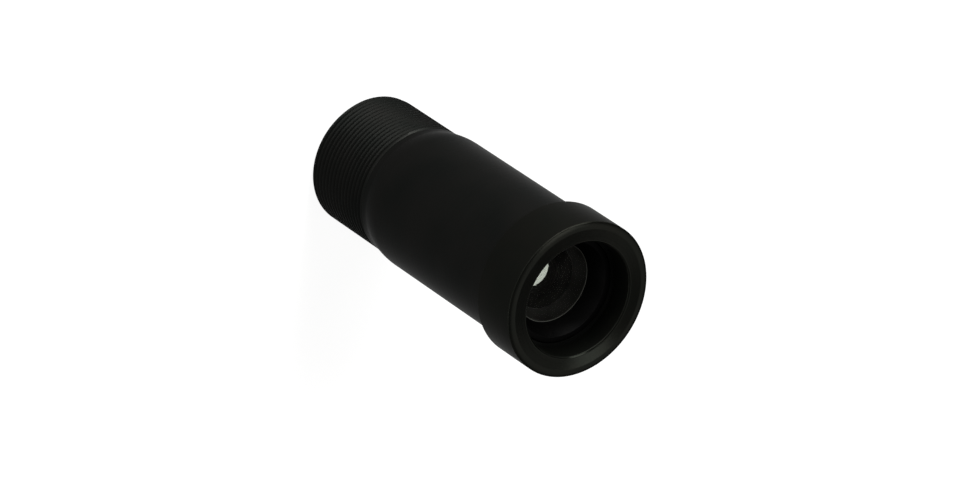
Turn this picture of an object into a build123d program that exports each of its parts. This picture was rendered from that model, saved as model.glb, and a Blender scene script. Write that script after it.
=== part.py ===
"""Security camera board lens: a threaded barrel, a hood ring, six glass elements and their rings.

The lens stands on its rear rim. Millimetres, +Z along the optical axis from the rear rim to the front face,
origin in the middle of the rear rim. Every piece is turned, so each is a section swept round the Z axis.
A spherical face has a signed radius: positive where its middle stands out to the front, negative where its
middle lies back from the front. Heights run from the rear rim.
"""
from build123d import *
from math import ceil, copysign, radians, sin, sqrt
import os

# Radial sizes, worked outwards and inwards from the thread
thread_radius = 6.0             # fine thread, 12 mm over its crests, 0.5 mm pitch
thread_depth = 0.31             # crest to root
rear_wall = 0.92                # from the thread's root to the rear ring's thread
rear_ring_step = 0.35           # rear ring's thread outside the glass bore
front_ring_step = 0.48          # front ring's thread outside the glass bore
spigot_wall = 0.85              # round the front ring's thread
hood_lip = 0.55                 # how far the hood reaches in over the spigot's end
shoulder_height = 0.3           # barrel above the thread
hood_overhang = 0.75            # hood above the barrel

# Lengths of the barrel and the hood
thread_length = 8.2             # from the rear rim, with its runout
thread_land = 0.58              # plain stretch between the thread and the shoulder
shoulder_length = 2.15          # rounded shoulder from the land up to the barrel
hood_length = 4.72
ledge_depth = 2.23              # from the front face to the hood's inner ledge
hood_band_width = 0.52          # shallow slope round the front face
hood_band_drop = 0.06

# Broken edges
thread_chamfer = 0.35
barrel_edge = 0.12
spigot_edge = 0.15
hood_front_chamfer = 0.08
hood_mouth_chamfer = 0.13
hood_rear_chamfer = 0.12
ring_edge = 0.1

# Fits
slip = 0.02                     # radial room round glass, spacers and rings
seat_margin = 0.05              # spacers and lips stay this far outside the polished faces

# Glass: curves, thicknesses in the middle, and the flat seats round the polished faces
glass_bevel = 0.12
front_curve = 32.7
front_back_reach = 65.4         # degrees of the deep hollow face, from the axis to its rim
front_back_seat_width = 1.7
front_thickness = 0.8
front_seat_width = 0.85
second_front_curve = -16.3
second_back_curve = 18.5
second_thickness = 2.7
second_seat_width = 0.8
third_front_curve = 5.8
third_back_curve = -32.6
third_thickness = 3.95
third_seat_width = 0.6
crown_curve = 16.0
crown_thickness = 2.97
cement_curve = -10.2
flint_curve = -29.6
flint_thickness = 0.86
doublet_seat_width = 0.6
rear_front_curve = 29.8
rear_back_curve = -38.5
rear_thickness = 2.98
rear_seat_width = 0.5
filter_thickness = 0.5
filter_seat_width = 0.45

# Room along the axis, front to rear
front_recess = 3.72             # from the front face back to the middle of the first glass
front_spacer_length = 0.274
second_gap = 0.74
third_gap = 1.84
stop_gap = 2.77
doublet_gap = 1.94
rear_gap = 2.5

# Stop, foil shields and retaining rings
stop_reach = 1.4                # how far the stop comes in from the rim of the glass
stop_thickness = 0.1
shield_thickness = 0.05
front_ring_setback = 0.1        # the ring's face behind the barrel's front end
front_ring_flare = 0.75         # the cone's widening from the lip to the face
lip_height = 0.12
rear_ring_height = 1.1
rear_ring_recess = 0.33
rear_ring_flare = 0.35
slot_width = 0.8
slot_depth = 0.5

# Turned grooves that stop light from glancing off the inner shoulder
groove_pitch = 0.45
groove_depth = 0.16
groove_end = 0.3                # plain stretch left at each end


def sag(curve, reach):
    """How far a spherical face falls back at a distance from its middle."""
    return curve - copysign(sqrt(curve ** 2 - reach ** 2), curve)


# Radii that follow from the walls and steps
rear_thread_bore = thread_radius - thread_depth - rear_wall
glass_bore = rear_thread_bore - rear_ring_step
glass_radius = glass_bore - slip
front_thread_bore = glass_bore + front_ring_step
spigot_radius = front_thread_bore + spigot_wall
barrel_radius = thread_radius + shoulder_height
hood_radius = barrel_radius + hood_overhang
hood_bore_radius = spigot_radius - hood_lip
hood_face_radius = hood_radius - hood_front_chamfer - hood_band_width

# Radii of the polished faces
front_clear = glass_radius - front_seat_width
front_back_clear = glass_radius - front_back_seat_width
front_back_curve = front_back_clear / sin(radians(front_back_reach))
second_clear = glass_radius - second_seat_width
third_clear = glass_radius - third_seat_width
doublet_clear = glass_radius - doublet_seat_width
rear_clear = glass_radius - rear_seat_width
filter_clear = glass_radius - filter_seat_width

# Middles of the faces, stacked from the rear ring up to the hood's front
filter_back = rear_ring_recess + rear_ring_height
filter_front = filter_back + filter_thickness
rear_back = filter_front + rear_gap
rear_front = rear_back + rear_thickness
flint_back = rear_front + doublet_gap
cement_face = flint_back + flint_thickness
crown_front = cement_face + crown_thickness
stop_back = crown_front + stop_gap
stop_front = stop_back + stop_thickness
third_back = stop_front + third_gap
third_front = third_back + third_thickness
second_back = third_front + second_gap
second_front = second_back + second_thickness
second_seat = second_front - sag(second_front_curve, second_clear)
front_back_seat = second_seat + front_spacer_length + shield_thickness
front_back = front_back_seat + sag(front_back_curve, front_back_clear)
front_front = front_back + front_thickness
total_length = front_front + front_recess

# Seats of the other faces
front_seat = front_front - sag(front_curve, front_clear)
second_back_seat = second_back - sag(second_back_curve, second_clear)
third_seat = third_front - sag(third_front_curve, third_clear)
third_back_seat = third_back - sag(third_back_curve, third_clear)
crown_seat = crown_front - sag(crown_curve, doublet_clear)
flint_seat = flint_back - sag(flint_curve, doublet_clear)
rear_seat = rear_front - sag(rear_front_curve, rear_clear)
rear_back_seat = rear_back - sag(rear_back_curve, rear_clear)

# Heights of the turned steps
hood_base = total_length - hood_length
ledge_height = total_length - ledge_depth
shoulder_base = thread_length + thread_land
shoulder_top = shoulder_base + shoulder_length


def turned(points):
    """A solid turned from a closed section of (radius, height) points."""
    outline = Polyline(*[(radius, 0, height) for radius, height in points], close=True)
    return revolve(make_face(outline), axis=Axis.Z)


def spacer(clear, low, high):
    """A ring between two seats, as wide inside as the larger polished face beside it allows."""
    inner = clear + seat_margin
    return turned([
        (inner, low),
        (glass_radius - ring_edge, low),
        (glass_radius, low + ring_edge),
        (glass_radius, high - ring_edge),
        (glass_radius - ring_edge, high),
        (inner, high),
    ])


def foil(inner, low, thickness):
    """A flat punched ring."""
    high = low + thickness
    return turned([(inner, low), (glass_radius, low), (glass_radius, high), (inner, high)])


def polished_face(curve, middle, clear):
    """The section's arc along a face, from the axis out to its flat seat."""
    halfway = (clear / 2, 0, middle - sag(curve, clear / 2))
    rim = (clear, 0, middle - sag(curve, clear))
    return ThreePointArc((0, 0, middle), halfway, rim)


def element(front, curve, clear, back, back_curve, back_clear):
    """A glass element: two polished faces, flat seats round them and a bevelled rim."""
    top = front - sag(curve, clear)
    bottom = back - sag(back_curve, back_clear)
    rim = Polyline(
        (clear, 0, top),
        (glass_radius - glass_bevel, 0, top),
        (glass_radius, 0, top - glass_bevel),
        (glass_radius, 0, bottom + glass_bevel),
        (glass_radius - glass_bevel, 0, bottom),
        (back_clear, 0, bottom),
    )
    section = make_face([
        polished_face(curve, front, clear).edge(),
        *rim.edges(),
        polished_face(back_curve, back, back_clear).edge(),
        Line((0, 0, back), (0, 0, front)).edge(),
    ])
    return revolve(section, axis=Axis.Z)


def grooved_bore(radius, high, low):
    """Section points down a bore with V grooves turned in it, between two plain ends."""
    room = high - low - 2 * groove_end
    count = max(1, ceil(room / groove_pitch) - 1)
    pitch = room / count
    points = [(radius, high)]
    for turn in range(count):
        top = high - groove_end - turn * pitch
        points.append((radius, top))
        points.append((radius + groove_depth, top - pitch / 2))
    points.append((radius, low + groove_end))
    points.append((radius, low))
    return points


def make_barrel():
    """Threaded tail, plain body and front spigot outside; a bore from each end to the inner shoulder."""
    outside = [
        (barrel_radius, shoulder_top),
        (barrel_radius, hood_base - barrel_edge),
        (barrel_radius - barrel_edge, hood_base),
        (spigot_radius, hood_base),
        (spigot_radius, ledge_height - spigot_edge),
        (spigot_radius - spigot_edge, ledge_height),
    ]
    shoulder_bore = max(third_clear, doublet_clear) + seat_margin
    inside = [
        (front_thread_bore, ledge_height),
        (front_thread_bore, front_seat),
        (glass_bore, front_seat),
        (glass_bore, stop_back),
        *grooved_bore(shoulder_bore, stop_back, crown_seat),
        (glass_bore, crown_seat),
        (glass_bore, filter_back),
        (rear_thread_bore, filter_back),
        (rear_thread_bore, 0),
    ]
    tail = [
        (thread_radius - thread_chamfer, 0),
        (thread_radius, thread_chamfer),
        (thread_radius, shoulder_base),
    ]
    around = Polyline(*[(radius, 0, height) for radius, height in outside + inside + tail])
    shoulder = TangentArc((barrel_radius, 0, shoulder_top), (thread_radius, 0, shoulder_base), tangent=(0, 0, -1))
    return revolve(make_face([*around.edges(), shoulder.edge()]), axis=Axis.Z)


def make_hood():
    """The wider front ring: a plain bore ahead of the ledge and a threaded socket behind it."""
    socket = spigot_radius + slip
    band_low = total_length - hood_band_drop
    return turned([
        (socket, hood_base),
        (hood_radius - hood_rear_chamfer, hood_base),
        (hood_radius, hood_base + hood_rear_chamfer),
        (hood_radius, band_low - hood_front_chamfer),
        (hood_radius - hood_front_chamfer, band_low),
        (hood_face_radius, total_length),
        (hood_bore_radius + hood_mouth_chamfer, total_length),
        (hood_bore_radius, total_length - hood_mouth_chamfer),
        (hood_bore_radius, ledge_height),
        (socket, ledge_height),
    ])


def make_front_retaining_ring():
    """Screwed down on the first glass: a thin lip on its seat and a cone that opens to the front."""
    outer = front_thread_bore - slip
    lip = front_clear + seat_margin
    face = ledge_height - front_ring_setback
    return turned([
        (lip, front_seat),
        (outer, front_seat),
        (outer, face - ring_edge),
        (outer - ring_edge, face),
        (lip + front_ring_flare, face),
        (lip, front_seat + lip_height),
    ])


def make_rear_retaining_ring():
    """Screwed up against the filter, with a spanner slot across its rear face."""
    outer = rear_thread_bore - slip
    low = rear_ring_recess
    body = turned([
        (filter_clear + rear_ring_flare, low),
        (outer - ring_edge, low),
        (outer, low + ring_edge),
        (outer, filter_back),
        (filter_clear, filter_back),
        (filter_clear, filter_back - lip_height),
    ])
    slot = Box(3 * outer, slot_width, 2 * slot_depth)
    return body - Pos(0, 0, low) * slot


def make_filter():
    """A flat coated plate with bevelled edges."""
    return turned([
        (0, filter_back),
        (glass_radius - glass_bevel, filter_back),
        (glass_radius, filter_back + glass_bevel),
        (glass_radius, filter_front - glass_bevel),
        (glass_radius - glass_bevel, filter_front),
        (0, filter_front),
    ])


def make_metalwork():
    """Barrel, hood and rings."""
    front_shield = front_back_seat - shield_thickness
    rear_shield = flint_seat - shield_thickness
    return {
        "barrel": make_barrel(),
        "hood": make_hood(),
        "front_retaining_ring": make_front_retaining_ring(),
        "front_light_shield": foil(front_back_clear + seat_margin, front_shield, shield_thickness),
        "front_spacer": spacer(second_clear, second_seat, front_shield),
        "second_spacer": spacer(max(second_clear, third_clear), third_seat, second_back_seat),
        "stop_spacer": spacer(third_clear, stop_front, third_back_seat),
        "aperture_stop": foil(glass_radius - stop_reach, stop_back, stop_thickness),
        "rear_light_shield": foil(doublet_clear + seat_margin, rear_shield, shield_thickness),
        "rear_spacer": spacer(max(doublet_clear, rear_clear), rear_seat, rear_shield),
        "filter_spacer": spacer(rear_clear, filter_front, rear_back_seat),
        "rear_retaining_ring": make_rear_retaining_ring(),
    }


def make_glass():
    """The six elements, front to rear, and the filter behind them."""
    return {
        "front_element": element(front_front, front_curve, front_clear,
                                 front_back, front_back_curve, front_back_clear),
        "second_element": element(second_front, second_front_curve, second_clear,
                                  second_back, second_back_curve, second_clear),
        "third_element": element(third_front, third_front_curve, third_clear,
                                 third_back, third_back_curve, third_clear),
        "doublet_crown": element(crown_front, crown_curve, doublet_clear,
                                 cement_face, cement_curve, doublet_clear),
        "doublet_flint": element(cement_face, cement_curve, doublet_clear,
                                 flint_back, flint_curve, doublet_clear),
        "rear_element": element(rear_front, rear_front_curve, rear_clear,
                                rear_back, rear_back_curve, rear_clear),
        "infrared_filter": make_filter(),
    }


os.makedirs("parts", exist_ok=True)
pieces = {**make_metalwork(), **make_glass()}
for name, solid in pieces.items():
    export_step(solid, f"parts/{name}.step")
    print(name, "volume", round(solid.volume, 3))
print("total length", round(total_length, 3), "hood radius", round(hood_radius, 3))
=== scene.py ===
# %% [markdown]
# A board lens from a security camera, dressed for its portrait.
# The real thing is turned from aluminium bar, blasted, anodised black, and filled with six glass
# elements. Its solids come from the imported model. This file gives them fine edges, a real screw thread,
# polished glass that bends light, and a plain studio.
#
# The lens stands on its rear rim, and +Z runs up the optical axis. Blender works in metres, so sizes in
# millimetres are multiplied by MM.

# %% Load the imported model
from math import asin, ceil, copysign, cos, pi, radians, sin, sqrt, tan

import bmesh
import bpy
from mathutils import Matrix, Vector


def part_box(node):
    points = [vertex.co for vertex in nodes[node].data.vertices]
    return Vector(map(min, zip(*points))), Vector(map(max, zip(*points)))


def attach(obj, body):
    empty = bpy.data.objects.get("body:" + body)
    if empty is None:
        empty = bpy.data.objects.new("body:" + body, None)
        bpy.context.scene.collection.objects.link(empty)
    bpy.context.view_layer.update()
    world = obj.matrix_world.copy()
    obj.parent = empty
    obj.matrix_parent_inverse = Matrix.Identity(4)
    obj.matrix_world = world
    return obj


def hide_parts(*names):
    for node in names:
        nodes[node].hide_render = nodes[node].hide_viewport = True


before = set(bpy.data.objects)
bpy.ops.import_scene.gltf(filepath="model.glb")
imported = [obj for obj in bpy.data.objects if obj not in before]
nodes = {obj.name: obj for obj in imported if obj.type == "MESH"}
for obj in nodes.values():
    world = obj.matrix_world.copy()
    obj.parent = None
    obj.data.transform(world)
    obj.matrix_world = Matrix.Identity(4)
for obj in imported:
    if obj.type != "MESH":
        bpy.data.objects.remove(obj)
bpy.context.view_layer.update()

MM = 0.001
lens_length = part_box("hood")[1].z / MM
print("pieces in the frame:", len(nodes), "length", round(lens_length, 3), "mm")

# %% [markdown]
# The camera. Two facts were read off the photograph: where the middle of the front face lies, and which
# way the optical axis points, both along the camera's own right, up and backward directions. The lens was
# photographed from half a metre away and from 48 degrees above the table. Its axis leans over in the
# picture because the camera was rolled, not because the lens is tilted here.

# %% Camera
FRONT_IN_VIEW = Vector((8.222, -5.017, -500.975)) * MM
AXIS_IN_VIEW = Vector((0.55724, -0.37560, 0.74054)).normalized()
FOCAL_LENGTH = 225.13           # mm, on a sensor 36 mm wide
BACKWARD = Vector((0, 0, 1))

rise = AXIS_IN_VIEW.z
world_y = (AXIS_IN_VIEW * rise - BACKWARD) / sqrt(1 - rise ** 2)
world_x = world_y.cross(AXIS_IN_VIEW)
view_turn = Matrix((world_x, world_y, AXIS_IN_VIEW))
front_middle = Vector((0, 0, lens_length * MM))
view_point = front_middle - view_turn @ FRONT_IN_VIEW

camera_data = bpy.data.cameras.new("photo_camera")
camera_data.lens = FOCAL_LENGTH
camera_data.sensor_width = 36
camera_data.clip_start = 0.01
camera_data.clip_end = 20
camera = bpy.data.objects.new("photo_camera", camera_data)
camera.matrix_world = Matrix.Translation(view_point) @ view_turn.to_4x4()
bpy.context.scene.collection.objects.link(camera)
bpy.context.scene.camera = camera
print("camera at", [round(c / MM, 1) for c in view_point], "mm")

# %% [markdown]
# Helpers for node trees, for shapes and for materials alike. `add` takes the node's kind, a dictionary of
# sockets, each with a number or another node's output, and the node's own settings. `maths` is the short
# form for the many small sums, and `tree_input` gives a shape tree a named input.

# %% Helpers for nodes


def add(tree, kind, sockets=None, **settings):
    """Adds a node, sets its settings, and fills or links its input sockets."""
    node = tree.nodes.new(kind)
    for name, value in settings.items():
        setattr(node, name, value)
    for name, value in (sockets or {}).items():
        if isinstance(value, bpy.types.NodeSocket):
            tree.links.new(value, node.inputs[name])
        else:
            node.inputs[name].default_value = value
    return node


def maths(tree, kind, first, second=0.0, third=0.0):
    """One sum on numbers or sockets."""
    return add(tree, "ShaderNodeMath", {0: first, 1: second, 2: third}, operation=kind).outputs[0]


def tree_input(tree, name, kind, value=None):
    """Adds a named input to a shape tree."""
    socket = tree.interface.new_socket(name, in_out="INPUT", socket_type=kind)
    if value is not None:
        socket.default_value = value


print("node helpers ready")

# %% [markdown]
# Turned pieces. A lathe makes a piece whose every section through the axis is the same, so the shape is
# one outline swept round. It could be a Screw modifier, but the thread below needs its own rule, so both
# are Geometry Nodes trees that share their parts. A grid gets one row for each point of the outline and one
# column for each step round, and each grid point is set to its place by cosine and sine.

# %% Sweeping an outline round the axis
STEPS_ROUND = 192


def around(tree, radius, turn, height):
    """The place at a radius and a height, some share of a turn round the axis."""
    angle = maths(tree, "MULTIPLY", turn, 2 * pi)
    x = maths(tree, "MULTIPLY", radius, maths(tree, "COSINE", angle))
    y = maths(tree, "MULTIPLY", radius, maths(tree, "SINE", angle))
    return add(tree, "ShaderNodeCombineXYZ", {0: x, 1: y, 2: height}).outputs[0]


def rows_and_turns(tree, rows, steps):
    """A grid of rows by steps round, with each point's row number and share of a turn."""
    columns = maths(tree, "ADD", steps, 1.0)
    grid = add(tree, "GeometryNodeMeshGrid", {"Vertices X": rows, "Vertices Y": columns}).outputs["Mesh"]
    index = add(tree, "GeometryNodeInputIndex").outputs[0]
    row = maths(tree, "FLOOR", maths(tree, "DIVIDE", index, columns))
    turn = maths(tree, "DIVIDE", maths(tree, "MODULO", index, columns), steps)
    return grid, row, turn


def swept(tree, given):
    """The outline of a tree's input, swept round."""
    points = add(tree, "GeometryNodeAttributeDomainSize", {0: given["Outline"]}).outputs["Point Count"]
    grid, row, turn = rows_and_turns(tree, points, given["Steps Round"])
    place = add(tree, "GeometryNodeInputPosition").outputs[0]
    picked = add(tree, "GeometryNodeSampleIndex",
                 {"Geometry": given["Outline"], "Index": row, "Value": place}, data_type="FLOAT_VECTOR")
    corner = add(tree, "ShaderNodeSeparateXYZ", {0: picked.outputs[0]}).outputs
    spot = around(tree, corner["X"], turn, corner["Z"])
    return add(tree, "GeometryNodeSetPosition", {"Geometry": grid, "Position": spot}).outputs[0]


print("sweep ready, with", STEPS_ROUND, "steps round")

# %% [markdown]
# Every tree ends the same way. Merging doubles closes the seam and the poles. Edges that turn by more than
# the crease angle stay sharp, which leaves rounds and polished faces smooth. The piece gets its surface,
# and what lies further out than the rim radius gets a second one, for the blackened edge of a lens.

# %% Finishing a piece
MERGE = 1e-8                    # metres: joins doubles and nothing else


def tree_for_pieces(name):
    """A new shape tree with the inputs that all pieces share."""
    tree = bpy.data.node_groups.new(name, "GeometryNodeTree")
    tree_input(tree, "Outline", "NodeSocketGeometry")
    tree_input(tree, "Steps Round", "NodeSocketInt", STEPS_ROUND)
    tree_input(tree, "Crease", "NodeSocketFloat", radians(30))
    tree_input(tree, "Surface", "NodeSocketMaterial")
    tree_input(tree, "Rim Surface", "NodeSocketMaterial")
    tree_input(tree, "Rim Radius", "NodeSocketFloat", 1.0)
    tree.interface.new_socket("Piece", in_out="OUTPUT", socket_type="NodeSocketGeometry")
    return tree


def finished(tree, given, mesh):
    """Merges doubles, keeps creases sharp, and gives the piece and its rim their surfaces."""
    closed = add(tree, "GeometryNodeMergeByDistance", {"Geometry": mesh, "Distance": MERGE}).outputs[0]
    smooth = add(tree, "GeometryNodeSetShadeSmooth", {"Geometry": closed, "Shade Smooth": True}).outputs[0]
    bend = add(tree, "GeometryNodeInputMeshEdgeAngle").outputs["Unsigned Angle"]
    sharp = maths(tree, "GREATER_THAN", bend, given["Crease"])
    creased = add(tree, "GeometryNodeSetShadeSmooth",
                  {"Geometry": smooth, "Selection": sharp, "Shade Smooth": False}, domain="EDGE").outputs[0]
    real = add(tree, "GeometryNodeRealizeInstances", {"Geometry": creased}).outputs[0]
    painted = add(tree, "GeometryNodeSetMaterial",
                  {"Geometry": real, "Material": given["Surface"]}).outputs[0]
    place = add(tree, "GeometryNodeInputPosition").outputs[0]
    flat = add(tree, "ShaderNodeVectorMath", {0: place, 1: (1, 1, 0)}, operation="MULTIPLY").outputs[0]
    reach = add(tree, "ShaderNodeVectorMath", {0: flat}, operation="LENGTH").outputs["Value"]
    outside = maths(tree, "GREATER_THAN", reach, given["Rim Radius"])
    rimmed = add(tree, "GeometryNodeSetMaterial",
                 {"Geometry": painted, "Selection": outside, "Material": given["Rim Surface"]}).outputs[0]
    add(tree, "NodeGroupOutput", {0: rimmed})


turn_on_lathe = tree_for_pieces("turn_on_lathe")
lathe_given = add(turn_on_lathe, "NodeGroupInput").outputs
finished(turn_on_lathe, lathe_given, swept(turn_on_lathe, lathe_given))
print("lathe tree has", len(turn_on_lathe.nodes), "nodes")

# %% [markdown]
# From outline to piece. An outline is a list of (radius, height) points in millimetres. No real edge is
# knife sharp, and the bright hairline that the eye reads as metal is light caught by the broken edge, so
# corners can be rounded with small arcs first. The tree's result is then copied to a plain mesh, the
# modifier goes, and the normals are made to point outwards.

# %% Outlines and pieces
ROUND_STEPS = 4
NEARLY_STRAIGHT = radians(170)  # corners flatter than this stay as they are


def rounded(points, radius, sharp=()):
    """A closed outline with its corners rounded, as far as the runs beside each corner allow, but for the
    corners that stay sharp."""
    result = []
    for before, corner, after in zip([points[-1]] + points[:-1], points, points[1:] + points[:1]):
        stays = corner in sharp
        corner = Vector(corner)
        back = Vector(before) - corner
        ahead = Vector(after) - corner
        opening = back.angle(ahead)
        if stays or opening > NEARLY_STRAIGHT:
            result.append(tuple(corner))
            continue
        reach = min(radius / tan(opening / 2), 0.45 * back.length, 0.45 * ahead.length)
        bow = reach * tan(opening / 2)      # the radius that fits
        middle = corner + (back.normalized() + ahead.normalized()).normalized() * (bow / sin(opening / 2))
        start = corner + back.normalized() * reach - middle
        sweep = start.angle_signed(corner + ahead.normalized() * reach - middle)
        for step in range(ROUND_STEPS + 1):
            spoke = Matrix.Rotation(-sweep * step / ROUND_STEPS, 2) @ start
            result.append(tuple(middle + spoke))
    return result


def outline_object(name, points):
    """A chain of vertices in the XZ plane, in metres, for a tree to read."""
    mesh = bpy.data.meshes.new(name)
    chain = [(step, step + 1) for step in range(len(points) - 1)]
    mesh.from_pydata([(radius * MM, 0, height * MM) for radius, height in points], chain, [])
    piece = bpy.data.objects.new(name, mesh)
    bpy.context.scene.collection.objects.link(piece)
    return piece


def made(name, points, tree, values):
    """Runs a tree on an outline, keeps the result as a plain mesh, and turns its faces outwards."""
    piece = outline_object(name, points)
    modifier = piece.modifiers.new(tree.name, "NODES")
    modifier.node_group = tree
    for socket in tree.interface.items_tree:
        if socket.item_type == "SOCKET" and socket.name in values:
            modifier[socket.identifier] = values[socket.name]
    view = bpy.context.evaluated_depsgraph_get()
    mesh = bpy.data.meshes.new_from_object(piece.evaluated_get(view))
    mesh.name = name
    piece.modifiers.remove(modifier)
    piece.data = mesh
    shell = bmesh.new()
    shell.from_mesh(mesh)
    bmesh.ops.dissolve_degenerate(shell, dist=MERGE, edges=shell.edges)
    bmesh.ops.recalc_face_normals(shell, faces=shell.faces)
    open_edges = sum(1 for edge in shell.edges if not edge.is_manifold)
    shell.to_mesh(mesh)
    shell.free()
    print(name, "has", len(mesh.polygons), "faces and", open_edges, "open edges")
    return piece


def stands_for(piece, node):
    """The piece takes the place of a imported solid."""
    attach(piece, "root")
    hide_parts(node)


print("pieces are turned, thinned and checked")

# %% [markdown]
# Colours are written as the hex values that a paint chart shows. The renderer adds light in linear values,
# so one function does the change.

# %% Colours


def linear(chart, alpha=1.0):
    """The linear colour of an sRGB hex value."""
    parts = [int(chart[place:place + 2], 16) / 255 for place in (1, 3, 5)]
    plain = [part / 12.92 if part <= 0.04045 else ((part + 0.055) / 1.055) ** 2.4 for part in parts]
    return (*plain, alpha)


print("mid grey #808080 is", round(linear("#808080")[0], 3))

# %% [markdown]
# Black anodised aluminium. The bar is turned, blasted, and anodised: acid grows a clear oxide layer, and
# black dye fills its pores. The metal below still gives the skin its satin lustre, so the surface is a
# metal with a very dark colour, and the edge tint keeps its grazing reflection low, because the dye
# soaks up light on its long way through the layer. Faint rings come from the tool: a noise that reads the
# distance from the axis and the height, never the angle. Real tool marks lie 0.05 mm apart, too
# fine for a picture of this size, so they are drawn at 0.2 mm. The blasting adds a fine grain, and thick
# and thin dye adds soft brownish clouds.

# %% Anodised aluminium
TOOL_MARK = 0.2                 # mm between turned lines
BLAST_GRAIN = 0.06              # mm across one blasted dimple
DYE_CLOUD = 5.0                 # mm across a cloud in the dye
ROUGH_SPREAD = 0.05             # how far the roughness strays from one turned line to the next


def anodised(name, dark, light, rough, edge_tint="#c4c4c4", mark_height=0.0015, grain_height=0.001,
             cut_above=1000.0, cut_rough=0.2):
    """Black anodised aluminium; above a height, in mm, the blasted skin gives way to a finely cut one."""
    material = bpy.data.materials.new(name)
    material.use_nodes = True
    tree = material.node_tree
    shader = tree.nodes["Principled BSDF"]
    shader.inputs["Metallic"].default_value = 1.0
    shader.inputs["Specular Tint"].default_value = linear(edge_tint)
    place = add(tree, "ShaderNodeTexCoord").outputs["Object"]
    height = add(tree, "ShaderNodeSeparateXYZ", {0: place}).outputs["Z"]
    flat = add(tree, "ShaderNodeVectorMath", {0: place, 1: (1, 1, 0)}, operation="MULTIPLY").outputs[0]
    reach = add(tree, "ShaderNodeVectorMath", {0: flat}, operation="LENGTH").outputs["Value"]
    ring = maths(tree, "ADD", reach, height)
    marks = add(tree, "ShaderNodeTexNoise", {"W": ring, "Scale": 1 / (TOOL_MARK * MM), "Detail": 3.0},
                noise_dimensions="1D").outputs[0]
    grain = add(tree, "ShaderNodeTexNoise",
                {"Vector": place, "Scale": 1 / (BLAST_GRAIN * MM), "Detail": 2.0},
                noise_dimensions="3D").outputs[0]
    cloud = add(tree, "ShaderNodeTexNoise", {"Vector": place, "Scale": 1 / (DYE_CLOUD * MM), "Detail": 2.0},
                noise_dimensions="3D").outputs[0]
    tone = add(tree, "ShaderNodeValToRGB", {0: cloud})
    tone.color_ramp.elements[0].position = 0.35
    tone.color_ramp.elements[0].color = linear(dark)
    tone.color_ramp.elements[1].position = 0.65
    tone.color_ramp.elements[1].color = linear(light)
    tree.links.new(tone.outputs[0], shader.inputs["Base Color"])
    spread = add(tree, "ShaderNodeMapRange",
                 {"Value": marks, "To Min": rough - ROUGH_SPREAD, "To Max": rough + ROUGH_SPREAD})
    cut = maths(tree, "GREATER_THAN", height, cut_above * MM)
    finish = add(tree, "ShaderNodeMix", {0: cut, 2: spread.outputs[0], 3: cut_rough}, data_type="FLOAT")
    tree.links.new(finish.outputs[0], shader.inputs["Roughness"])
    lines = add(tree, "ShaderNodeBump", {"Height": marks, "Distance": mark_height * MM, "Strength": 1.0})
    bumps = add(tree, "ShaderNodeBump", {"Height": grain, "Distance": grain_height * MM, "Strength": 1.0,
                                         "Normal": lines.outputs[0]})
    tree.links.new(bumps.outputs[0], shader.inputs["Normal"])
    return material


BAND_DROP = 0.06                # mm, depth of the slope round the hood's face
barrel_skin = anodised("black_anodised_barrel", "#0c0d0c", "#0f0f0e", 0.5)
hood_skin = anodised("black_anodised_hood", "#0b0c0a", "#0d0d0b", 0.5,
                     cut_above=lens_length - 1.5 * BAND_DROP, cut_rough=0.17)
ring_skin = anodised("matt_black_rings", "#060606", "#080808", 0.55, edge_tint="#707070")
spacer_skin = anodised("satin_black_spacers", "#2e2e29", "#383832", 0.4)
foil_skin = anodised("matt_black_foil", "#181817", "#1c1c1a", 0.6, mark_height=0.0)
edge_skin = anodised("blackened_lens_edge", "#262622", "#2c2c28", 0.5, mark_height=0.0)
dark_finishes = (barrel_skin, hood_skin, ring_skin, spacer_skin, foil_skin, edge_skin)
print("dark finishes:", ", ".join(skin.name for skin in dark_finishes))

# %% [markdown]
# Optical glass. Crown glass bends light little and dense flint bends it much, so each kind has its own
# refractive index. A thin coating takes away nearly all of the reflection of light that meets a face head
# on, so it is left out. Slanting light is mirrored, above all where it meets a steep face from inside and
# can't leave, and the coating makes it faintly yellowish green. Only a share of that is kept, because the
# real barrel is darker inside than a white room is outside. The first face also carries a cloudy film of
# dust, as every open lens does, which scatters a little light and makes the dark inside a soft grey. The
# ground seat round a polished face is bare grey glass up to the ring's lip, and painted black beyond.

# %% Optical glass
DUST_CLOUD = 2.0                # mm across a cloud in the dust film
GROUND_GRAIN = 0.02             # mm, grain of the ground edge
DUST = "#a8a8a0"                # pale grey house dust
DUST_FILM = 0.007               # share of the first face that the dust covers
DUST_SWING = 0.4                # how much thicker or thinner the film gets
HEAD_ON = 0.15                  # what the coating takes away of a bare face's reflection
SLANTING_SHARE = 0.35           # kept of the rest, which only slanting light has


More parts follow.
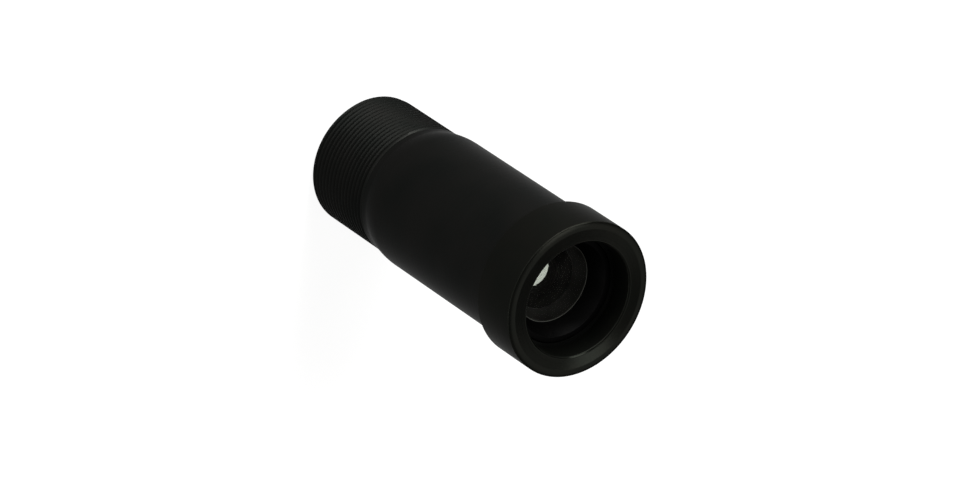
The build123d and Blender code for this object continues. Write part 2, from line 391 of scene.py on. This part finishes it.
def optical_glass(name, index, coating, body, film=0.0):
    """Polished, coated optical glass of one refractive index."""
    material = bpy.data.materials.new(name)
    material.use_nodes = True
    tree = material.node_tree
    tree.nodes.remove(tree.nodes["Principled BSDF"])
    place = add(tree, "ShaderNodeTexCoord").outputs["Object"]
    haze = add(tree, "ShaderNodeTexNoise", {"Vector": place, "Scale": 1 / (DUST_CLOUD * MM), "Detail": 1.0},
               noise_dimensions="3D").outputs[0]
    clear = add(tree, "ShaderNodeMapRange", {"Value": haze, "To Min": 0.99, "To Max": 1.0})
    body_colour = add(tree, "ShaderNodeVectorMath",
                      {0: linear(body)[:3], "Scale": clear.outputs[0]}, operation="SCALE")
    bent = add(tree, "ShaderNodeBsdfRefraction",
               {"Color": body_colour.outputs[0], "Roughness": 0.0, "IOR": index})
    mirrored = add(tree, "ShaderNodeBsdfAnisotropic", {"Color": linear(coating), "Roughness": 0.0})
    bare = add(tree, "ShaderNodeFresnel", {"IOR": index}).outputs[0]
    slanting = maths(tree, "MULTIPLY", maths(tree, "SUBTRACT", bare, HEAD_ON), SLANTING_SHARE)
    mirror = maths(tree, "MAXIMUM", slanting, 0.0)
    both = add(tree, "ShaderNodeMixShader", {0: mirror, 1: bent.outputs[0], 2: mirrored.outputs[0]})
    inside = add(tree, "ShaderNodeNewGeometry").outputs["Backfacing"]
    cover = add(tree, "ShaderNodeMapRange",
                {"Value": haze, "From Min": 0.3, "From Max": 0.7,
                 "To Min": film * (1 - DUST_SWING), "To Max": film * (1 + DUST_SWING)}).outputs[0]
    dusty = maths(tree, "MULTIPLY", maths(tree, "SUBTRACT", 1.0, inside), cover)
    dust = add(tree, "ShaderNodeBsdfDiffuse", {"Color": linear(DUST)})
    filmed = add(tree, "ShaderNodeMixShader", {0: dusty, 1: both.outputs[0], 2: dust.outputs[0]})
    tree.links.new(filmed.outputs[0], tree.nodes["Material Output"].inputs["Surface"])
    return material


def lens_rim(name, ground, paint, bare_within):
    """The ground seat and edge of a lens: bare grey glass up to a radius, in mm, and black paint beyond."""
    material = bpy.data.materials.new(name)
    material.use_nodes = True
    tree = material.node_tree
    shader = tree.nodes["Principled BSDF"]
    place = add(tree, "ShaderNodeTexCoord").outputs["Object"]
    flat = add(tree, "ShaderNodeVectorMath", {0: place, 1: (1, 1, 0)}, operation="MULTIPLY").outputs[0]
    reach = add(tree, "ShaderNodeVectorMath", {0: flat}, operation="LENGTH").outputs["Value"]
    grain = add(tree, "ShaderNodeTexNoise",
                {"Vector": place, "Scale": 1 / (GROUND_GRAIN * MM), "Detail": 2.0},
                noise_dimensions="3D").outputs[0]
    wander = maths(tree, "MULTIPLY_ADD", grain, GROUND_GRAIN * MM, reach)
    painted = add(tree, "ShaderNodeMapRange", {"Value": wander, "From Min": bare_within * MM,
                                               "From Max": (bare_within + GROUND_GRAIN) * MM})
    tone = add(tree, "ShaderNodeValToRGB", {0: painted.outputs[0]})
    tone.color_ramp.elements[0].color = linear(ground)
    tone.color_ramp.elements[1].color = linear(paint)
    tree.links.new(tone.outputs[0], shader.inputs["Base Color"])
    shader.inputs["Roughness"].default_value = 0.6
    shader.inputs["Specular IOR Level"].default_value = 0.1
    return material


GREEN_COATING = "#eef4d4"
CLEAR_BODY = "#fafaf9"
front_glass = optical_glass("coated_front_glass", 1.72, GREEN_COATING, CLEAR_BODY, DUST_FILM)
lanthanum = optical_glass("lanthanum_crown_glass", 1.72, GREEN_COATING, CLEAR_BODY)
crown = optical_glass("borosilicate_crown_glass", 1.517, GREEN_COATING, CLEAR_BODY)
flint = optical_glass("dense_flint_glass", 1.785, GREEN_COATING, CLEAR_BODY)
filter_glass = optical_glass("infrared_filter_glass", 1.517, "#e0c0ff", "#f6faf8")
seat_glass = lens_rim("ground_glass_seat", "#343531", "#1a1a18", 3.61)
glasses = (front_glass, lanthanum, crown, flint, filter_glass, seat_glass)
print("glasses:", ", ".join(glass.name for glass in glasses))

# %% [markdown]
# The barrel's sizes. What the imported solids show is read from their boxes, so this file follows them. The
# few sizes that no box shows are named here with their real values.

# %% Sizes of the barrel
SLIP = 0.02                     # radial room round glass and rings
THREAD_RADIUS = 6.0             # M12
THREAD_DEPTH = 0.31
THREAD_LENGTH = 8.2
THREAD_LAND = 0.58
THREAD_CHAMFER = 0.35
SHOULDER_LENGTH = 2.15
SHOULDER_STEPS = 12
SPIGOT_WALL = 0.85
SPIGOT_EDGE = 0.15
BARREL_EDGE = 0.12
GROOVE_PITCH = 0.45
GROOVE_DEPTH = 0.16
GROOVE_END = 0.3
DOUBLET_REACH = 3.8             # polished faces of the doublet
CROWN_CURVE = 16.0
SEAT_MARGIN = 0.05              # rings stay this far outside the polished faces

barrel_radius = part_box("barrel")[1].x / MM
barrel_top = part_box("barrel")[1].z / MM
hood_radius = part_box("hood")[1].x / MM
hood_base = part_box("hood")[0].z / MM
ring_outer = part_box("front_retaining_ring")[1].x / MM
ring_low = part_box("front_retaining_ring")[0].z / MM
ring_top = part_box("front_retaining_ring")[1].z / MM
glass_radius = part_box("front_element")[1].x / MM
glass_bore = glass_radius + SLIP
front_thread_bore = ring_outer + SLIP
spigot_radius = front_thread_bore + SPIGOT_WALL
rear_thread_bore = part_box("rear_retaining_ring")[1].x / MM + SLIP
filter_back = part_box("infrared_filter")[0].z / MM
stop_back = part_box("aperture_stop")[0].z / MM
shoulder_base = THREAD_LENGTH + THREAD_LAND
shoulder_top = shoulder_base + SHOULDER_LENGTH


def sag(curve, reach):
    """How far a spherical face falls back at a distance from its middle."""
    return curve - copysign(sqrt(curve ** 2 - reach ** 2), curve)


crown_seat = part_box("doublet_crown")[1].z / MM - sag(CROWN_CURVE, DOUBLET_REACH)
print("barrel", barrel_radius, "hood", hood_radius, "glass", round(glass_radius, 3), "mm in radius")

# %% [markdown]
# The barrel's outline. The shoulder is an arc that leaves the barrel tangentially and drops to the thread.
# Inside, a bore comes from each end to a shoulder with small V grooves that stop light from glancing off.

# %% Barrel outline


def shoulder_arc():
    """The rounded shoulder, from the thread up to the barrel."""
    drop = barrel_radius - THREAD_RADIUS
    curve = (SHOULDER_LENGTH ** 2 + drop ** 2) / (2 * drop)
    step_height = SHOULDER_LENGTH / SHOULDER_STEPS
    heights = [shoulder_base + step_height * step for step in range(SHOULDER_STEPS + 1)]
    return [(barrel_radius - sag(curve, shoulder_top - height), height) for height in heights]


def grooved_bore(radius, high, low):
    """Points down a bore with V grooves turned in it, between two plain ends."""
    room = high - low - 2 * GROOVE_END
    count = max(1, ceil(room / GROOVE_PITCH) - 1)
    pitch = room / count
    points = [(radius, high)]
    for turn in range(count):
        top = high - GROOVE_END - turn * pitch
        points.append((radius, top))
        points.append((radius + GROOVE_DEPTH, top - pitch / 2))
    points.append((radius, low + GROOVE_END))
    points.append((radius, low))
    return points


barrel_outline = [
    (THREAD_RADIUS, THREAD_LENGTH),
    *shoulder_arc(),
    (barrel_radius, hood_base - BARREL_EDGE),
    (barrel_radius - BARREL_EDGE, hood_base),
    (spigot_radius, hood_base),
    (spigot_radius, barrel_top - SPIGOT_EDGE),
    (spigot_radius - SPIGOT_EDGE, barrel_top),
    (front_thread_bore, barrel_top),
    (front_thread_bore, ring_low),
    (glass_bore, ring_low),
    (glass_bore, stop_back),
    *grooved_bore(DOUBLET_REACH + SEAT_MARGIN, stop_back, crown_seat),
    (glass_bore, crown_seat),
    (glass_bore, filter_back),
    (rear_thread_bore, filter_back),
    (rear_thread_bore, 0),
    (THREAD_RADIUS - THREAD_CHAMFER, 0),
]
print("barrel outline has", len(barrel_outline), "points")

# %% [markdown]
# The screw thread. A thread is a V groove that climbs one pitch a turn. It could be a Screw modifier on a
# zigzag, but then its ends stick out. Here a grid follows the helix, with four rows a turn at the
# corners of the crest and the root, and each point's radius comes from its height and its angle. Rows that
# would pass either end are held there. At the start the chamfer cuts the crests off. At the other end the
# groove runs out over one pitch, as it does when the tool is drawn back, so the thread closes onto the
# plain land of the barrel without a gap.

# %% Thread tree
PITCH = 0.5                     # fine pitch of board lenses
CREST = 0.125                   # flat of the crest, as a share of the pitch
FLANK_ANGLE = radians(30)
ROWS_A_TURN = 4


def thread_profile(tree, given, height, turn, crest, flank):
    """The thread's radius at a height and a share of a turn."""
    phase = maths(tree, "SUBTRACT", maths(tree, "DIVIDE", height, given["Pitch"]), turn)
    off_crest = maths(tree, "ABSOLUTE", maths(tree, "SUBTRACT", phase, maths(tree, "ROUND", phase)))
    depth = add(tree, "ShaderNodeMapRange",
                {"Value": off_crest, "From Min": crest, "From Max": maths(tree, "ADD", crest, flank),
                 "To Min": 0.0, "To Max": given["Depth"]}).outputs[0]
    left = maths(tree, "SUBTRACT", given["Thread Length"], height)
    fade = add(tree, "ShaderNodeMapRange", {"Value": left, "From Max": given["Runout"]}).outputs[0]
    cut = maths(tree, "SUBTRACT", given["Crest Radius"], maths(tree, "MULTIPLY", depth, fade))
    start = maths(tree, "SUBTRACT", given["Crest Radius"], given["Start Chamfer"])
    return maths(tree, "MINIMUM", cut, maths(tree, "ADD", start, height))


def threading_tree():
    """A tree that turns the outline it is given and joins a screw thread to it."""
    tree = tree_for_pieces("cut_thread")
    for name in ("Pitch", "Crest Radius", "Depth", "Thread Length", "Start Chamfer", "Runout"):
        tree_input(tree, name, "NodeSocketFloat")
    given = add(tree, "NodeGroupInput").outputs
    turns = maths(tree, "CEIL", maths(tree, "DIVIDE", given["Thread Length"], given["Pitch"]))
    rows = maths(tree, "MULTIPLY_ADD", maths(tree, "ADD", turns, 2.0), float(ROWS_A_TURN), 1.0)
    grid, row, turn = rows_and_turns(tree, rows, given["Steps Round"])
    crest = CREST / 2
    flank = maths(tree, "DIVIDE", maths(tree, "MULTIPLY", given["Depth"], tan(FLANK_ANGLE)), given["Pitch"])
    side = maths(tree, "SUBTRACT", maths(tree, "MODULO", row, float(ROWS_A_TURN)), 1.5)
    at_root = maths(tree, "GREATER_THAN", maths(tree, "ABSOLUTE", side), 1.0)
    reach = maths(tree, "MULTIPLY_ADD", at_root, flank, crest)
    offset = maths(tree, "MULTIPLY", maths(tree, "SIGN", side), reach)
    whole = maths(tree, "FLOOR", maths(tree, "DIVIDE", row, float(ROWS_A_TURN)))
    climbed = maths(tree, "ADD", maths(tree, "ADD", whole, offset), turn)
    free = maths(tree, "MULTIPLY", maths(tree, "SUBTRACT", climbed, 1.0), given["Pitch"])
    height = maths(tree, "MINIMUM", maths(tree, "MAXIMUM", free, 0.0), given["Thread Length"])
    radius = thread_profile(tree, given, height, turn, crest, flank)
    thread = add(tree, "GeometryNodeSetPosition",
                 {"Geometry": grid, "Position": around(tree, radius, turn, height)})
    both = add(tree, "GeometryNodeJoinGeometry")
    tree.links.new(thread.outputs[0], both.inputs[0])
    tree.links.new(swept(tree, given), both.inputs[0])
    finished(tree, given, both.outputs[0])
    return tree


cut_thread = threading_tree()
print("thread tree has", len(cut_thread.nodes), "nodes")

# %% [markdown]
# The barrel itself: outline and thread go through the tree together, and the piece takes the place of the
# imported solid.

# %% Barrel
barrel = made("threaded_barrel", barrel_outline, cut_thread, {
    "Surface": barrel_skin,
    "Pitch": PITCH * MM,
    "Crest Radius": THREAD_RADIUS * MM,
    "Depth": THREAD_DEPTH * MM,
    "Thread Length": THREAD_LENGTH * MM,
    "Start Chamfer": THREAD_CHAMFER * MM,
    "Runout": PITCH * MM,
})
stands_for(barrel, "barrel")

# %% [markdown]
# The hood. Its front face is cut last, with a fine feed: the tool leaves tiny saw-tooth steps whose long
# sides lean inwards. They catch the lamp on one side of the ring only, which is the bright streak on the
# face. A shallow slope runs round the face, and leans the other way.

# %% Hood
HOOD_LIP = 0.55
BAND_WIDTH = 0.52
FRONT_CHAMFER = 0.08
MOUTH_CHAMFER = 0.13
REAR_CHAMFER = 0.12
FEED = 0.1                      # mm a turn: twice the real feed, so that it shows
FEED_ANGLE = radians(8)
FEED_RETURN = 0.005             # mm: the steep side of a step is nearly upright
HOOD_ROUND = 0.03

hood_bore = spigot_radius - HOOD_LIP
face_outer = hood_radius - FRONT_CHAMFER - BAND_WIDTH
face_inner = hood_bore + MOUTH_CHAMFER


def feed_marks(outer, inner, height):
    """Saw-tooth steps across a face, from its outer edge inwards."""
    count = int((outer - inner) / FEED)
    width = (outer - inner) / count
    points = []
    for step in range(count):
        edge = outer - step * width
        points.append((edge, height))
        points.append((edge - width + FEED_RETURN, height - width * tan(FEED_ANGLE)))
    return points + [(inner, height - width * tan(FEED_ANGLE))]


socket = spigot_radius + SLIP
marks = feed_marks(face_outer, face_inner, lens_length)
hood_outline = rounded([
    (socket, hood_base),
    (hood_radius - REAR_CHAMFER, hood_base),
    (hood_radius, hood_base + REAR_CHAMFER),
    (hood_radius, lens_length - BAND_DROP - FRONT_CHAMFER),
    (hood_radius - FRONT_CHAMFER, lens_length - BAND_DROP),
    *marks,
    (hood_bore, lens_length - MOUTH_CHAMFER),
    (hood_bore, barrel_top),
    (socket, barrel_top),
], HOOD_ROUND, sharp=marks)
hood = made("hood_ring", hood_outline + hood_outline[:1], turn_on_lathe, {"Surface": hood_skin})
stands_for(hood, "hood")

# %% [markdown]
# The front retaining ring. It screws down on the first glass: a thin lip bears on the ground seat, and a
# matt cone opens towards the front.

# %% Front retaining ring
LIP_RADIUS = 3.6
LIP_HEIGHT = 0.12
RING_FLARE = 0.75
RING_EDGE = 0.1
RING_ROUND = 0.03

ring_outline = rounded([
    (LIP_RADIUS, ring_low),
    (ring_outer, ring_low),
    (ring_outer, ring_top - RING_EDGE),
    (ring_outer - RING_EDGE, ring_top),
    (LIP_RADIUS + RING_FLARE, ring_top),
    (LIP_RADIUS, ring_low + LIP_HEIGHT),
], RING_ROUND)
front_ring = made("front_ring", ring_outline + ring_outline[:1], turn_on_lathe, {"Surface": ring_skin})
stands_for(front_ring, "front_retaining_ring")

# %% [markdown]
# The glass elements. Each is two spherical faces with a ground rim, so its outline is an arc, a rim and an
# arc. The curves are a typical wide-angle prescription, worked out with a small ray trace until the bright
# patch seen through the lens fell where the photograph has it. Faces that touch in the real lens are set
# a hair apart here, so that light always goes from glass to air and back, one face at a time.

# %% Glass elements
AIR_FILM = 0.003                # mm
ARC_STEPS = 32
BEVEL = 0.12
GLASS_CREASE = radians(3.5)     # polished faces bend less than this from one step to the next
FRONT_BACK_SEAT = 1.7
FRONT_BACK_REACH = radians(65.4)


def arc(curve, middle, clear):
    """Points along a polished face, from the axis outwards."""
    widest = asin(clear / abs(curve))
    reaches = [abs(curve) * sin(widest * step / ARC_STEPS) for step in range(ARC_STEPS + 1)]
    return [(reach, middle - sag(curve, reach)) for reach in reaches]


def lens_outline(name, front_curve, clear, back_curve, back_clear):
    """Half the section of an element, from the middle of its front face to the middle of its back."""
    low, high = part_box(name)
    front = high.z / MM + min(0, sag(front_curve, clear)) - AIR_FILM
    back = low.z / MM + max(0, sag(back_curve, back_clear)) + AIR_FILM
    top = front - sag(front_curve, clear)
    bottom = back - sag(back_curve, back_clear)
    rim = [
        (glass_radius - BEVEL, top),
        (glass_radius, top - BEVEL),
        (glass_radius, bottom + BEVEL),
        (glass_radius - BEVEL, bottom),
    ]
    return arc(front_curve, front, clear) + rim + arc(back_curve, back, back_clear)[::-1]


front_back_clear = glass_radius - FRONT_BACK_SEAT
front_back_curve = front_back_clear / sin(FRONT_BACK_REACH)
elements = {
    "front_element": (front_glass, seat_glass, 32.7, 3.55, front_back_curve, front_back_clear),
    "second_element": (crown, edge_skin, -16.3, 3.6, 18.5, 3.6),
    "third_element": (lanthanum, edge_skin, 5.8, 3.8, -32.6, 3.8),
    "doublet_crown": (crown, edge_skin, CROWN_CURVE, DOUBLET_REACH, -10.2, DOUBLET_REACH),
    "doublet_flint": (flint, edge_skin, -10.2, DOUBLET_REACH, -29.6, DOUBLET_REACH),
    "rear_element": (lanthanum, edge_skin, 29.8, 3.9, -38.5, 3.9),
}
for name, (glass, rim_skin, front_curve, clear, back_curve, back_clear) in elements.items():
    element = made(name + "_glass", lens_outline(name, front_curve, clear, back_curve, back_clear),
                   turn_on_lathe, {"Surface": glass, "Crease": GLASS_CREASE, "Rim Surface": rim_skin,
                                   "Rim Radius": max(clear, back_clear) * MM})
    stands_for(element, name)

# %% [markdown]
# The infrared filter is a flat plate behind the last element. Its coating stops infrared light, so that
# colours come out right by day, and shows a faint violet.

# %% Infrared filter
FILTER_REACH = 4.0

filter_low, filter_high = [corner.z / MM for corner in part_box("infrared_filter")]
filter_low += AIR_FILM
filter_high -= AIR_FILM
plate = made("infrared_filter_glass", [
    (0, filter_high),
    (glass_radius - BEVEL, filter_high),
    (glass_radius, filter_high - BEVEL),
    (glass_radius, filter_low + BEVEL),
    (glass_radius - BEVEL, filter_low),
    (0, filter_low),
], turn_on_lathe, {"Surface": filter_glass, "Crease": GLASS_CREASE, "Rim Surface": edge_skin,
                   "Rim Radius": FILTER_REACH * MM})
stands_for(plate, "infrared_filter")

# %% [markdown]
# The spacers, the stop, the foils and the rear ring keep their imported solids, which are plain turned rings
# already. They only get their finishes.

# %% Finishes of the solids that stay
STAYING = {
    spacer_skin: ("front_spacer", "second_spacer", "stop_spacer", "rear_spacer", "filter_spacer"),
    ring_skin: ("rear_retaining_ring",),
    foil_skin: ("front_light_shield", "aperture_stop", "rear_light_shield"),
}
for skin, names in STAYING.items():
    for name in names:
        nodes[name].data.materials.clear()
        nodes[name].data.materials.append(skin)
    print(skin.name, "on", ", ".join(names))

# %% [markdown]
# The floor is a wide sheet of white paper. In the photograph the paper is overexposed to plain white, with
# barely a shadow left. So the paper glows for the camera and for what mirrors or looks through to it, and
# keeps a share of its real, matt surface, on which the shadow falls.

# %% Floor
FLOOR_SIZE = 3.0                # metres
PAPER_FIBRE = 0.4               # mm
GLOW_SHARE = 0.9


def seen_directly(tree):
    """One for rays of the camera, of mirrors and of glass, and nought for scattered light."""
    rays = add(tree, "ShaderNodeLightPath").outputs
    either = maths(tree, "MAXIMUM", rays["Is Camera Ray"], rays["Is Glossy Ray"])
    return maths(tree, "MAXIMUM", either, rays["Is Transmission Ray"])


def white_paper():
    """Matt white paper with a faint fibre, which shows as nearly plain white."""
    material = bpy.data.materials.new("white_paper")
    material.use_nodes = True
    tree = material.node_tree
    shader = tree.nodes["Principled BSDF"]
    shader.inputs["Roughness"].default_value = 0.9
    place = add(tree, "ShaderNodeTexCoord").outputs["Object"]
    fibre = add(tree, "ShaderNodeTexNoise", {"Vector": place, "Scale": 1 / (PAPER_FIBRE * MM)},
                noise_dimensions="3D").outputs[0]
    tone = add(tree, "ShaderNodeValToRGB", {0: fibre})
    tone.color_ramp.elements[0].color = linear("#e2e2e0")
    tone.color_ramp.elements[1].color = linear("#ebebe9")
    tree.links.new(tone.outputs[0], shader.inputs["Base Color"])
    share = maths(tree, "MULTIPLY", seen_directly(tree), GLOW_SHARE)
    glow = add(tree, "ShaderNodeEmission", {"Color": (1, 1, 1, 1), "Strength": 1.0})
    mix = add(tree, "ShaderNodeMixShader", {0: share, 1: shader.outputs[0], 2: glow.outputs[0]})
    tree.links.new(mix.outputs[0], tree.nodes["Material Output"].inputs["Surface"])
    return material


half = FLOOR_SIZE / 2
floor_mesh = bpy.data.meshes.new("floor")
floor_corners = [(-half, -half, 0), (half, -half, 0), (half, half, 0), (-half, half, 0)]
floor_mesh.from_pydata(floor_corners, [], [(0, 1, 2, 3)])
floor_mesh.materials.append(white_paper())
floor = bpy.data.objects.new("floor", floor_mesh)
bpy.context.scene.collection.objects.link(floor)
print("floor of", FLOOR_SIZE, "m")

# %% [markdown]
# The room. White walls show as plain white, and give the scattered light a low, even level.

# %% World
ROOM_LIGHT = 0.3

world = bpy.data.worlds.new("studio")
bpy.context.scene.world = world
world.use_nodes = True
room = world.node_tree
strength = add(room, "ShaderNodeMapRange",
               {"Value": seen_directly(room), "To Min": ROOM_LIGHT, "To Max": 1.0})
room.links.new(strength.outputs[0], room.nodes["Background"].inputs["Strength"])
room.nodes["Background"].inputs["Color"].default_value = (1, 1, 1, 1)
print("room light", ROOM_LIGHT)

# %% [markdown]
# The lamps. Each is a round softbox that faces the middle of the lens. Its place is given by the compass
# bearing round the lens, the height above the table, and the distance. The bearings are counted from the
# photographer's side, so that they can be compared with the highlights in the photograph.

# %% Lamps
LAMP_DISTANCE = 400             # mm


def softbox(name, bearing, elevation, size, power):
    """A softbox at a bearing and an elevation in degrees, with its size in mm and its power in watts."""
    data = bpy.data.lights.new(name, "AREA")
    data.shape = "DISK"
    data.size = size * MM
    data.energy = power
    light = bpy.data.objects.new(name, data)
    middle = Vector((0, 0, lens_length * MM / 2))
    out = Vector((cos(radians(elevation)) * sin(radians(bearing)),
                  -cos(radians(elevation)) * cos(radians(bearing)), sin(radians(elevation))))
    light.location = middle + out * LAMP_DISTANCE * MM
    light.rotation_mode = "QUATERNION"
    light.rotation_quaternion = out.to_track_quat("Z", "Y")
    bpy.context.scene.collection.objects.link(light)
    return light


LAMPS = {
    "key_high_left": (300, 60, 160, 1.7),
    "strip_left": (275, 35, 160, 0.9),
    "low_left": (300, 12, 160, 6.4),
    "low_front": (0, 12, 160, 1.6),
    "low_right": (60, 12, 160, 1.7),
    "back": (180, 48, 160, 0.12),
    "streak": (194, 60, 60, 0.09),
}
for name, (bearing, elevation, size, power) in LAMPS.items():
    softbox(name, bearing, elevation, size, power)
print("lamps:", ", ".join(LAMPS))

# %% [markdown]
# Last, the picture's settings. Light passes through up to fourteen polished faces, and back through them,
# so the bounces are raised well above the usual number. A weak mirror inside the glass finds a lamp only
# once in many tries, which would show as single bright dots, so light that arrives that way is limited
# to plain white.

# %% Picture settings
scene = bpy.context.scene
scene.view_settings.view_transform = "Standard"
scene.cycles.max_bounces = 40
scene.cycles.transmission_bounces = 36
scene.cycles.glossy_bounces = 12
scene.cycles.diffuse_bounces = 4
scene.cycles.sample_clamp_indirect = 1.0
